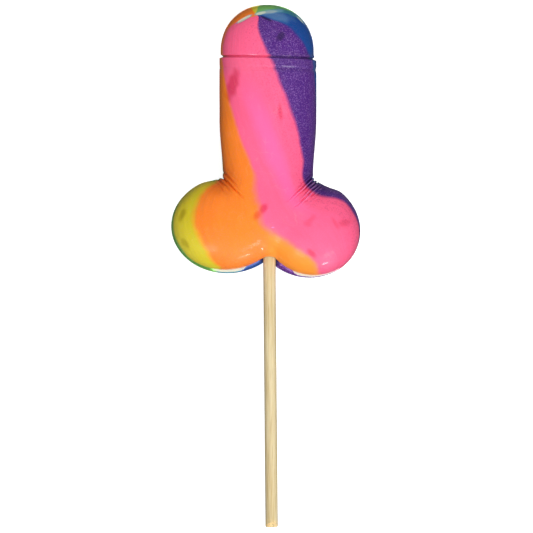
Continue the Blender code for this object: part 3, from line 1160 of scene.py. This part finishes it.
def add_marks_and_painted_light(sugar, spot, colour):
    """Deepen the dents, paint shade in the groove and corners, and paint highlights and shade on the folds
    and the ledge.
    """
    # A deeper colour: clearer sugar in the dents, painted shade in the groove and the corner hollows.
    deeper_colour = sugar.node("ShaderNodeGamma", {}, {"Color": colour, "Gamma": 1.5})
    colour = sugar.mix(spot.clearness_and_shade * 0.85, colour, sugar.tone(deeper_colour, 0.76))
    # The seam colour is painted shade along the ledge's outer edge.
    seam_shade = sugar.tone(colour, 0.32)
    # The thin colour is painted light on the ledge, where the sugar is also thin.
    thin_lit = sugar.tone(colour, 2.4, 0.85)
    # Weak pale marks are painted highlights, lilac on the wrinkles and blue on the head.
    milky_highlight = sugar.mix(sugar.step(spot.up, 1.9, 1.95), dye(232, 164, 236), dye(118, 164, 194))
    colour = sugar.mix(sugar.step(spot.fold_light_and_shade, 0.0, 0.3) * 0.6, colour, milky_highlight)
    colour = sugar.mix(sugar.step(0.0 - spot.ledge, 0.05, 0.45) * 0.75, colour, seam_shade)
    colour = sugar.mix(sugar.step(spot.ledge, 0.0, 0.15) * 0.8, colour, thin_lit)
    # The bloom is a painted highlight in pale patches on the ledge.
    patches = sugar.step(sugar.noise(spot.place, 260.0, 3.0), 0.25, 0.45)
    bloom_highlight = sugar.step(spot.ledge, 0.3, 0.6) * patches
    colour = sugar.mix(bloom_highlight * STRONG_SHARE, colour, dye(226, 234, 212))
    # Strong pale marks are nearly white painted highlights.
    colour = sugar.mix(sugar.step(spot.fold_light_and_shade, 0.32, 0.55) * STRONG_SHARE, colour, dye(216, 222, 196))
    # The dark colour is painted shade in the crease at the head and painted shadow in the gap beside the
    # stick.
    crease_shade = sugar.step(0.0 - spot.fold_light_and_shade, 0.05, 0.8)
    return sugar.mix(crease_shade * STRONG_SHARE, colour, dye(24, 18, 70))


# %% [markdown]
# The skin is fairly glossy, most of all in the dents and on the collar. Fine pits, the
# clouds and the streaks lift it a very little, and faint curly cracks run over it.

# %% Mix the sugar
CRACK_WIDTH = 0.022


def find_cracks(sugar, spot):
    """1 on faint curly lines, where a slow noise crosses its middle."""
    curl = sugar.noise(spot.place, 190.0, 1.5, 0.5, 0.3)
    off_line = sugar.node("ShaderNodeMath", {"operation": "ABSOLUTE"}, {0: curl - 0.5})
    return (1.0 - sugar.step(off_line, 0.0, CRACK_WIDTH)) * sugar.step(spot.cloud, 0.5, 0.62)


def make_sugar():
    """Glossy pulled sugar in six stripes."""
    sugar = new_material("pulled_sugar")
    spot = read_spot(sugar)
    colour = stripe_colour(sugar, spot)
    for add in (add_grain, ripen_and_highlight, add_marks_and_painted_light):
        colour = add(sugar, spot, colour)
    crack = find_cracks(sugar, spot)
    pit = sugar.noise(spot.place, 900.0, 3.0, 0.6)
    rise = pit + spot.cloud * 1.5 + spot.streak * 1.6 + crack * 0.4
    polish = sugar.step(sugar.noise(spot.place, 120.0), 0.42, 0.62)
    on_collar = sugar.band(spot.up, (1.8, 1.83), (1.88, 1.91))
    relief = {"Strength": 0.3, "Distance": 0.0003, "Height": rise}
    sugar.set(
        Base_Color=sugar.mix(crack * 0.04, colour, dye(255, 236, 214)),
        Roughness=0.38 + sugar.noise(spot.place, 240.0) * 0.2 - spot.clearness_and_shade * 0.1,
        Normal=sugar.node("ShaderNodeBump", {}, relief, "Normal"),
        Subsurface_Weight=0.18,
        Subsurface_Radius=(1.0, 0.6, 0.5),
        Subsurface_Scale=0.002,
        Coat_Weight=0.08 + polish * 0.3 + on_collar * 0.9 + spot.clearness_and_shade * 0.35,
        Coat_Roughness=0.1,
        IOR=1.45,
    )
    return sugar.owner


candy.data.materials.clear()
candy.data.materials.append(make_sugar())
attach(candy, "root")
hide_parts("candy")
print("sugar on", candy.name)

# %% [markdown]
# ## The stick
# A sweet stick is turned from pale birch and cut square, with its edge just eased. Its skin
# shows long fine grain, a few darker fibres, and speckled pores on the cut end. The rod is
# made a hair uneven, so that light does not run along it as on plastic.

# %% Build the stick
STICK_BEVEL = 0.35 * MM
BEVEL_RINGS = 6
BEVEL_POWER = 1.5
STICK_RINGS = 220
STICK_SIDES = 72
FLAT_DEPTH = 0.012 * MM


def stick_radius(along, turn):
    """Radius of the turned stick, with eased ends and faint flats from turning."""
    end = min(along, STICK_LENGTH - along)
    ease = STICK_BEVEL * (1.0 - min(end / STICK_BEVEL, 1.0)) ** BEVEL_POWER
    flats = FLAT_DEPTH * (1.0 + np.sin(3.0 * turn + along * 60.0) * np.cos(5.0 * turn - along * 95.0))
    return STICK_RADIUS - ease - flats


ease_rings = list(np.linspace(0.0, STICK_BEVEL, BEVEL_RINGS))
body_rings = list(np.linspace(STICK_BEVEL, STICK_LENGTH - STICK_BEVEL, STICK_RINGS)[1:-1])
far_rings = [STICK_LENGTH - along for along in reversed(ease_rings)]
stick = rod("stick_turned", stick_radius, ease_rings + body_rings + far_rings, STICK_SIDES)
stick.data.set_sharp_from_angle(angle=SHARP_ANGLE)
print("stick:", len(stick.data.polygons), "faces")

# %% Mix the birch
GRAIN_STRETCH = (1.0, 0.03, 1.0)
END_LENGTH = 4.0 * MM


def make_birch():
    """Bare pale birch with long grain and a rougher cut end."""
    birch = new_material("pale_birch")
    place = birch.node("ShaderNodeTexCoord", {}, {}, "Object")
    long_place = birch.stretch(place, GRAIN_STRETCH)
    fibre = birch.noise(long_place, 1700.0, 4.0, 0.65)
    broad = birch.noise(long_place, 420.0)
    fleck = birch.step(birch.noise(long_place, 2900.0), 0.58, 0.7)
    tone = birch.step(broad * 0.5 + fibre * 0.5, 0.38, 0.62)
    colour = birch.mix(tone, dye(196, 174, 126), dye(217, 202, 162))
    colour = birch.mix(fleck * 0.4, colour, dye(168, 138, 92))
    near_end = 1.0 - birch.step(birch.split(place)[1], FOOT_Y, FOOT_Y + END_LENGTH)
    crumb = birch.step(birch.noise(place, 1500.0, 3.0, 0.7), 0.46, 0.54)
    colour = birch.mix(near_end * crumb * 0.9, colour, dye(255, 216, 150))
    pore = birch.step(birch.noise(place, 1900.0, 3.0, 0.7), 0.56, 0.66)
    colour = birch.mix(near_end * pore * 0.8, colour, dye(158, 128, 80))
    relief = {"Strength": 0.4, "Distance": 0.0002, "Height": fibre + broad}
    birch.set(
        Base_Color=colour,
        Roughness=0.66 + fibre * 0.12,
        Normal=birch.node("ShaderNodeBump", {}, relief, "Normal"),
        Subsurface_Weight=0.15,
        Subsurface_Radius=(1.0, 0.8, 0.5),
        Subsurface_Scale=0.0015,
    )
    return birch.owner


stick.data.materials.append(make_birch())
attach(stick, "root")
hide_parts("stick")
print("birch on", stick.name)

# %% [markdown]
# ## Floor, light and camera
# The sweet lies on a plain white table. The table glows a little, so that it looks as white
# as the studio paper, but it throws no light back on the sweet, whose edges stay dark.

# %% Floor
FLOOR_SIZE = 6.0
FLOOR_DROP = 0.05 * MM
PAPER_GREY = 0.6
PAPER_GLOW = 0.84
floor_mesh = bmesh.new()
bmesh.ops.create_grid(floor_mesh, x_segments=1, y_segments=1, size=0.5 * FLOOR_SIZE)
floor = make_piece(floor_mesh, "table_top")
paper = new_material("white_paper")
paper.set(Base_Color=(PAPER_GREY, PAPER_GREY, PAPER_GREY, 1.0), Roughness=0.9)
paper.set(Emission_Color=(1.0, 1.0, 1.0, 1.0), Emission_Strength=PAPER_GLOW)
floor.data.materials.append(paper.owner)
floor.visible_diffuse = False
floor.visible_glossy = False
floor.location.z = -FLOOR_DROP
print("floor", FLOOR_SIZE, "m wide,", round(FLOOR_DROP / MM, 2), "mm below the sweet")

# %% [markdown]
# A large soft light high on the right and a weaker one beyond the head shape the colours.
# They are not mirrored, because a gloss would show them as white patches on the crown. Three
# small lights beyond the foot are mirrored: they are the glints low on the lobes and on the
# collar. The sky gives the rest, brighter overhead than at the horizon, so that the sides
# fall off in tone. To the camera itself the sky is white.

# %% Lights
AIM = Vector((0.0, 0.02, 0.012))
HORIZON_LIGHT = 0.12
ZENITH_LIGHT = 0.42
MIRRORED = True
PLAIN = False
SOFT_BOXES = (
    ("overhead_light", (0.45, 0.0, 1.45), 0.5, 0.5, 14.4, PLAIN),
    ("head_light", (0.0, 0.85, 0.95), 0.5, 0.5, 3.0, PLAIN),
    ("left_foot_light", (-0.42, -0.95, 0.68), 0.4, 0.4, 4.5, MIRRORED),
    ("right_foot_light", (0.36, -0.96, 0.09), 0.24, 0.06, 2.6, MIRRORED),
    ("ring_light", (0.49, -0.8, 0.47), 0.4, 0.2, 1.7, MIRRORED),
)


def hang_light(name, place, width, height, power, is_mirrored):
    """An oval soft light turned to the sweet; only a mirrored one shows as a glint."""
    lamp = bpy.data.lights.new(name, "AREA")
    lamp.shape = "ELLIPSE"
    lamp.size = width
    lamp.size_y = height
    lamp.energy = power
    light = bpy.data.objects.new(name, lamp)
    light.location = place
    light.rotation_euler = (AIM - Vector(place)).to_track_quat("-Z", "Y").to_euler()
    light.visible_glossy = is_mirrored
    bpy.context.scene.collection.objects.link(light)


def make_sky():
    """A sky that lights more from overhead, and looks white to the camera."""
    sky = Finish(bpy.data.worlds.new("studio"), "Background")
    direction = sky.node("ShaderNodeTexCoord", {}, {}, "Generated")
    levels = {"Value": sky.split(direction)[2], "To Min": HORIZON_LIGHT, "To Max": ZENITH_LIGHT}
    glow = sky.node("ShaderNodeMapRange", {}, levels)
    seen = sky.node("ShaderNodeLightPath", {}, {}, "Is Camera Ray")
    strength = sky.node("ShaderNodeMath", {"operation": "MAXIMUM"}, {0: seen, 1: glow})
    sky.set(Strength=strength, Color=(1.0, 1.0, 1.0, 1.0))
    return sky.owner


for soft_box in SOFT_BOXES:
    hang_light(*soft_box)
bpy.context.scene.world = make_sky()
bpy.context.scene.view_settings.view_transform = "Standard"
print(len(SOFT_BOXES), "soft lights")

# %% [markdown]
# The camera looks straight down from far above, so that the sweet is seen almost without
# perspective. Its lens is worked out from the width of the field at the parting plane.

# %% Camera
CAMERA_DISTANCE = 2.0
SENSOR_WIDTH = 36.0
VIEW_DEPTH = 20.0
FIELD_WIDTH = 213.2 * MM
FIELD_CENTRE_X = 0.32 * MM
FIELD_CENTRE_ALONG = 104.2 * MM
camera_data = bpy.data.cameras.new("camera")
camera_data.sensor_width = SENSOR_WIDTH
camera_data.lens = SENSOR_WIDTH * CAMERA_DISTANCE / FIELD_WIDTH
camera_data.clip_end = VIEW_DEPTH
camera = bpy.data.objects.new("camera", camera_data)
camera.location = (FIELD_CENTRE_X, FIELD_CENTRE_ALONG + FOOT_Y, PARTING_HEIGHT + CAMERA_DISTANCE)
bpy.context.scene.collection.objects.link(camera)
bpy.context.scene.camera = camera
print("lens", round(camera_data.lens, 1), "mm")
